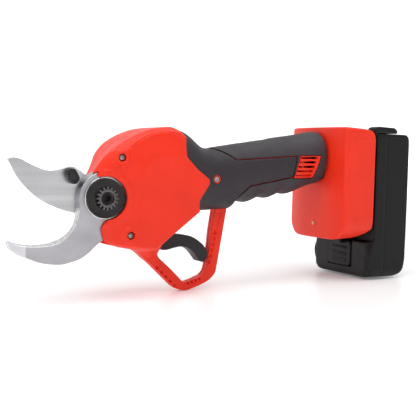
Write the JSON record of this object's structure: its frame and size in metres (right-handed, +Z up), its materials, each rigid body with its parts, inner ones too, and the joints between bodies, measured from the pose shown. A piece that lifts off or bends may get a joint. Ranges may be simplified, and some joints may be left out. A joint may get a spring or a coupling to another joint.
{
  "type": "battery electric pruner",
  "caption": "Cordless pruning shears: hooked and curved blades on a red head, gripped handle with a trigger guard, and a battery pack that slides off a rear dock.",
  "frame": {"origin": "centre of the flat foot under the battery pack", "axes": "+X from the blades back to the battery, +Z up along the battery pack, -Y the tool's left side"},
  "size_m": [0.3292, 0.077, 0.1288],
  "materials": {
    "red_plastic": "satin injection moulded, orange-red",
    "black_plastic": "fine matt texture",
    "grip_rubber": "matt soft-touch overmould",
    "blade_steel": "brushed flats with ground bevels",
    "bright_steel": "bright turned",
    "black_steel": "black oxide",
    "gear_steel": "cut and ground",
    "aluminium": "die-cast",
    "bronze": "sintered bronze bush",
    "copper": "copper",
    "board_green": "circuit board",
    "cable": "insulated wire",
    "cell_wrap": "shrink-wrapped cell",
    "magnet": "plated magnet",
    "lens": "amber translucent"
  },
  "bodies": {
    "tool": {"fixed_blade": "blade_steel", "pivot_bolt": "black_steel", "pivot_collar": "bright_steel", "pivot_nut": "black_steel", "head_frame": "aluminium", "pinion_bearing": "gear_steel", "gearbox_ring_gear": "gear_steel", "motor_can": "black_steel", "motor_lead": "cable", "controller_board": "board_green", "trigger_sensor_board": "board_green", "trigger_pin": "gear_steel", "trigger_spring": "gear_steel", "left_shell": "red_plastic", "right_shell": "red_plastic", "left_grip_collar": "black_plastic", "right_grip_collar": "black_plastic", "left_rubber_grip": "grip_rubber", "right_rubber_grip": "grip_rubber", "head_screw_upper": "gear_steel", "head_screw_lower": "gear_steel", "collar_screw": "gear_steel", "battery_housing": "red_plastic", "indicator_lens": "lens", "battery_dock": "black_plastic", "terminal_block": "black_plastic", "terminal_positive": "copper", "terminal_negative": "copper", "battery_lead_positive": "cable", "battery_lead_negative": "cable"},
    "blade": {"moving_blade": "blade_steel", "blade_magnet_holder": "black_plastic", "blade_magnet": "magnet", "blade_sector_gear": "gear_steel", "drive_pin_1": "gear_steel", "drive_pin_2": "gear_steel", "pivot_bush": "bronze"},
    "gearbox_output": {"output_carrier": "gear_steel", "bevel_pinion": "gear_steel"},
    "planet_1": {"planet_gear_1": "gear_steel"},
    "planet_2": {"planet_gear_2": "gear_steel"},
    "planet_3": {"planet_gear_3": "gear_steel"},
    "motor_rotor": {"motor_rotor": "copper", "motor_pinion": "gear_steel"},
    "trigger": {"trigger": "black_plastic", "trigger_magnet": "magnet"},
    "battery": {"battery_case": "black_plastic", "battery_cover": "black_plastic", "contact_positive": "copper", "contact_negative": "copper", "latch_spring": "gear_steel", "battery_cell_1": "cell_wrap", "battery_cell_2": "cell_wrap", "battery_cell_3": "cell_wrap", "battery_cell_4": "cell_wrap", "battery_cell_5": "cell_wrap"},
    "battery_latch": {"battery_latch": "black_plastic"}
  },
  "joints": [
    {"name": "blade_pivot", "type": "hinge", "parent": "tool", "child": "blade", "pos_m": [-0.238, 0, 0.066], "axis": [0, -1, 0], "range_deg": [0, 52]},
    {"name": "gearbox_output_spin", "type": "hinge", "parent": "tool", "child": "gearbox_output", "pos_m": [-0.20831, 0, 0.07033], "axis": [0.9895, 0, 0.1444], "range_deg": [-208, 0]},
    {"name": "motor_spin", "type": "hinge", "parent": "tool", "child": "motor_rotor", "pos_m": [-0.15884, 0, 0.07755], "axis": [0.9895, 0, 0.1444], "range_deg": [-1040, 0]},
    {"name": "planet_1_spin", "type": "hinge", "parent": "gearbox_output", "child": "planet_1", "pos_m": [-0.19347, -0.009, 0.0725], "axis": [0.9895, 0, 0.1444], "range_deg": [0, 555]},
    {"name": "planet_2_spin", "type": "hinge", "parent": "gearbox_output", "child": "planet_2", "pos_m": [-0.19235, 0.0045, 0.06478], "axis": [0.9895, 0, 0.1444], "range_deg": [0, 555]},
    {"name": "planet_3_spin", "type": "hinge", "parent": "gearbox_output", "child": "planet_3", "pos_m": [-0.1946, 0.0045, 0.08021], "axis": [0.9895, 0, 0.1444], "range_deg": [0, 555]},
    {"name": "trigger_pull", "type": "hinge", "parent": "tool", "child": "trigger", "pos_m": [-0.1935, 0, 0.031], "axis": [0, -1, 0], "range_deg": [0, 12], "deforming": ["trigger_spring"]},
    {"name": "battery_release", "type": "slide", "parent": "tool", "child": "battery", "axis": [0, 0, -1], "range_m": [0, 0.1]},
    {"name": "latch_press", "type": "slide", "parent": "battery", "child": "battery_latch", "axis": [1, 0, 0], "range_m": [0, 0.0014], "deforming": ["latch_spring"]}
  ],
  "couplings": [
    {"joint": "gearbox_output_spin", "follows": "blade_pivot", "ratio": -4},
    {"joint": "motor_spin", "follows": "blade_pivot", "ratio": -20},
    {"joint": "planet_1_spin", "follows": "blade_pivot", "ratio": 10.667},
    {"joint": "planet_2_spin", "follows": "blade_pivot", "ratio": 10.667},
    {"joint": "planet_3_spin", "follows": "blade_pivot", "ratio": 10.667}
  ]
}
